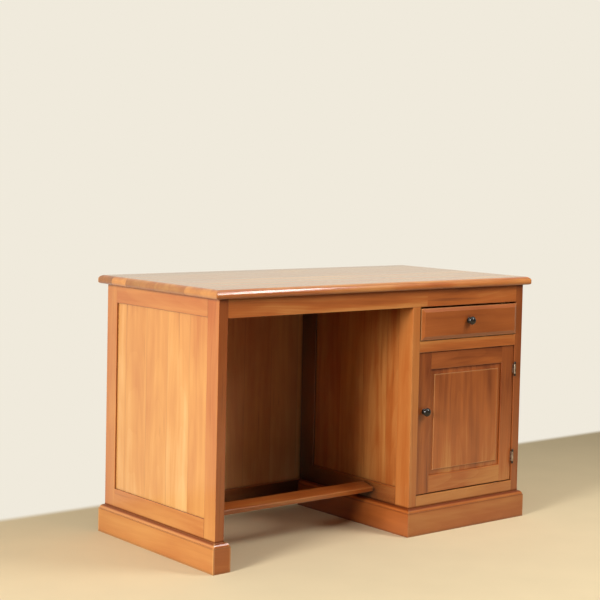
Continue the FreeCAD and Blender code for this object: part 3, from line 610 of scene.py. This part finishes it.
def camera_turn():
    """The camera's axes as columns: to its right, up, and back towards the viewer."""
    level = Vector((math.sin(CAMERA_YAW), math.cos(CAMERA_YAW), 0.0))
    right = Vector((math.cos(CAMERA_YAW), -math.sin(CAMERA_YAW), 0.0))
    ahead = level * math.cos(CAMERA_PITCH) + Vector((0, 0, 1)) * math.sin(CAMERA_PITCH)
    up = right.cross(ahead)
    rolled_right = right * math.cos(CAMERA_ROLL) + up * math.sin(CAMERA_ROLL)
    rolled_up = up * math.cos(CAMERA_ROLL) - right * math.sin(CAMERA_ROLL)
    return Matrix((rolled_right, rolled_up, -ahead)).transposed()


def soft_light(name, place, aim, size, power, roll=0.0, spread=math.pi):
    """A rectangular soft light that faces a point, rolled about its own axis, with its grid's spread."""
    data = bpy.data.lights.new(name, "AREA")
    data.shape, data.energy, data.spread = "RECTANGLE", power, spread
    data.size, data.size_y = size
    lamp = bpy.data.objects.new(name, data)
    lamp.location = place
    facing = (Vector(aim) - Vector(place)).to_track_quat("-Z", "Y")
    lamp.rotation_euler = (facing @ Quaternion((0, 0, 1), roll)).to_euler()
    bpy.context.scene.collection.objects.link(lamp)


def ray_kinds(tree):
    """Light Path's outputs, and 1 for the rays that show things: camera, mirrored or through glass."""
    path = add(tree, "LightPath").outputs
    shown = path["Is Camera Ray"]
    for kind in ("Is Glossy Ray", "Is Transmission Ray"):
        shown = add(tree, "Math", {0: shown, 1: path[kind]}, operation="MAXIMUM").outputs[0]
    return path, shown


# Plain painted floor: dull, with a faint mottle near the desk, and further off it passes into the backdrop.
def painted_floor():
    """Floor that shows the desk's shadow, and throws back only a part of the light that falls on it."""
    stage = bpy.context.scene.desk_stage
    material, tree = new_material("floor_painted_plain")
    path, shown = ray_kinds(tree)
    place = add(tree, "TexCoord").outputs["Object"]
    parts = add(tree, "SeparateXYZ", {0: place}).outputs
    mottle = add(tree, "TexNoise", {"Vector": place, "Scale": 6.0, "Detail": 2.0}).outputs[0]
    tone = add(tree, "MapRange", {0: mottle, 1: 0.3, 2: 0.7, 3: 0.97, 4: 1.0}).outputs[0]
    thrown = add(tree, "MapRange", {0: path["Is Diffuse Ray"], 3: 1.0, 4: stage.bounce}).outputs[0]
    tone = add(tree, "Math", {0: tone, 1: thrown}, operation="MULTIPLY").outputs[0]
    colour = add(tree, "Mix", {0: 1.0, 6: rgba(stage.floor), 7: tone}, data_type="RGBA",
                 blend_type="MULTIPLY").outputs[2]
    near = add(tree, "BsdfPrincipled", {"Base Color": colour, "Roughness": 0.9,
                                        "Specular IOR Level": 0.1}).outputs[0]
    pale = add(tree, "Emission", {0: rgba(stage.backdrop), 1: 1.0}).outputs[0]

    # Where the floor starts to pass into the backdrop and where it has: behind the desk, and then on the
    # other sides, where only the camera sees that
    far = 0.0
    for axis, start, end, rays in (
            ("Y", 0.54, 0.60, shown), ("X", -1.5, -2.3, path["Is Camera Ray"]),
            ("X", 2.4, 3.2, path["Is Camera Ray"]), ("Y", -1.6, -2.4, path["Is Camera Ray"])):
        beyond = add(tree, "MapRange", {0: parts[axis], 1: start, 2: end, 3: 0.0, 4: rays},
                     interpolation_type="SMOOTHSTEP").outputs[0]
        far = add(tree, "Math", {0: far, 1: beyond}, operation="MAXIMUM").outputs[0]
    add(tree, "OutputMaterial", {0: add(tree, "MixShader", {0: far, 1: near, 2: pale}).outputs[0]})
    return material


def pale_studio():
    """Surroundings: a plain backdrop to the camera, a pale and a dim side to light and mirror images."""
    stage = bpy.context.scene.desk_stage
    world = bpy.data.worlds.new("studio")
    world.use_nodes = True
    tree = world.node_tree
    tree.nodes.clear()
    path, shown = ray_kinds(tree)

    # The pale side is behind the desk and at its right, and the dim one is in front
    ray = add(tree, "SeparateXYZ", {0: add(tree, "TexCoord").outputs["Generated"]}).outputs
    rightward = add(tree, "Math", {0: ray["X"], 1: 0.0}, operation="MAXIMUM").outputs[0]
    way = add(tree, "Math", {0: rightward, 1: 0.6, 2: ray["Y"]}, operation="MULTIPLY_ADD").outputs[0]
    side = add(tree, "MapRange", {0: way, 1: 0.15, 2: 0.55, 3: stage.dim_side, 4: 1.0},
               interpolation_type="SMOOTHSTEP").outputs[0]
    falling = add(tree, "Math", {0: side, 1: 2.0}, operation="POWER").outputs[0]
    dimmed = add(tree, "Math", {0: falling, 1: stage.ambient}, operation="MULTIPLY").outputs[0]
    light = add(tree, "Background", {0: rgba(stage.backdrop), 1: dimmed}).outputs[0]
    mirrored = add(tree, "Background", {0: rgba(stage.mirrored), 1: side}).outputs[0]
    plain = add(tree, "Background", {0: rgba(stage.backdrop), 1: 1.0}).outputs[0]
    mixed = add(tree, "MixShader", {0: shown, 1: light, 2: mirrored}).outputs[0]
    mixed = add(tree, "MixShader", {0: path["Is Camera Ray"], 1: mixed, 2: plain}).outputs[0]
    add(tree, "OutputWorld", {0: mixed})
    return world


class DESK_OT_stage(Operator):
    """Lay the floor, set the lights and surroundings, and place the camera"""
    bl_idname = "desk.stage"
    bl_label = "Stage"

    def execute(self, context):
        scene, stage = context.scene, context.scene.desk_stage
        scene.view_settings.view_transform = "Standard"
        scene.world = pale_studio()

        reach = 12.0
        mesh = bpy.data.meshes.new("floor")
        mesh.from_pydata([(-reach, -reach, 0), (reach, -reach, 0), (reach, reach, 0), (-reach, reach, 0)],
                         [], [(0, 1, 2, 3)])
        mesh.materials.append(painted_floor())
        floor = bpy.data.objects.new("floor", mesh)
        scene.collection.objects.link(floor)

        soft_light("key_light", (-5.0, -1.29, 1.9), (0.0, -0.25, 0.4), (1.35, 2.2), stage.key_power,
                   spread=math.radians(120))
        soft_light("top_light", (-0.3, -1.3, 3.0), (-0.3, -0.9, 0.0), (3.8, 2.6), stage.top_power)
        soft_light("lamp", (1.2, -1.85, 2.15), (-0.45, -0.29, 0.75), (0.36, 1.7), stage.lamp_power,
                   roll=math.radians(-40))

        data = bpy.data.cameras.new("camera")
        data.sensor_fit, data.sensor_width = "HORIZONTAL", SENSOR_MM
        data.lens = FOCAL_PIXELS / FRAME_PIXELS * SENSOR_MM
        data.shift_y = -AXIS_ABOVE_MIDDLE / FRAME_PIXELS
        camera = bpy.data.objects.new("camera", data)
        camera.matrix_world = Matrix.Translation(CAMERA_PLACE) @ camera_turn().to_4x4()
        scene.collection.objects.link(camera)
        scene.camera = camera
        return {"FINISHED"}


STEPS = (DESK_OT_top, DESK_OT_sides, DESK_OT_back, DESK_OT_front_rails, DESK_OT_plinths, DESK_OT_footrest,
         DESK_OT_inside, DESK_OT_drawer, DESK_OT_door, DESK_OT_fittings, DESK_OT_stage)


class DESK_PT_looks(Panel):
    """Settings and steps of the desk's looks"""
    bl_idname = "DESK_PT_looks"
    bl_label = "Kneehole desk"
    bl_space_type = "VIEW_3D"
    bl_region_type = "UI"
    bl_category = "Desk"

    def draw(self, context):
        for settings in (context.scene.desk_wood, context.scene.desk_fittings, context.scene.desk_stage):
            column = self.layout.column(align=True)
            for name in settings.bl_rna.properties.keys():
                if name not in ("rna_type", "name"):
                    column.prop(settings, name)
        for step in STEPS:
            self.layout.operator(step.bl_idname)


CLASSES = (DeskWood, DeskFittings, DeskStage, *STEPS, DESK_PT_looks)


def register():
    for one in CLASSES:
        bpy.utils.register_class(one)
    bpy.types.Scene.desk_wood = PointerProperty(type=DeskWood)
    bpy.types.Scene.desk_fittings = PointerProperty(type=DeskFittings)
    bpy.types.Scene.desk_stage = PointerProperty(type=DeskStage)


def unregister():
    del bpy.types.Scene.desk_stage
    del bpy.types.Scene.desk_fittings
    del bpy.types.Scene.desk_wood
    for one in reversed(CLASSES):
        bpy.utils.unregister_class(one)


def main():
    register()
    for step in STEPS:
        getattr(bpy.ops.desk, step.bl_idname.partition(".")[2])()


if __name__ == "__main__":
    main()
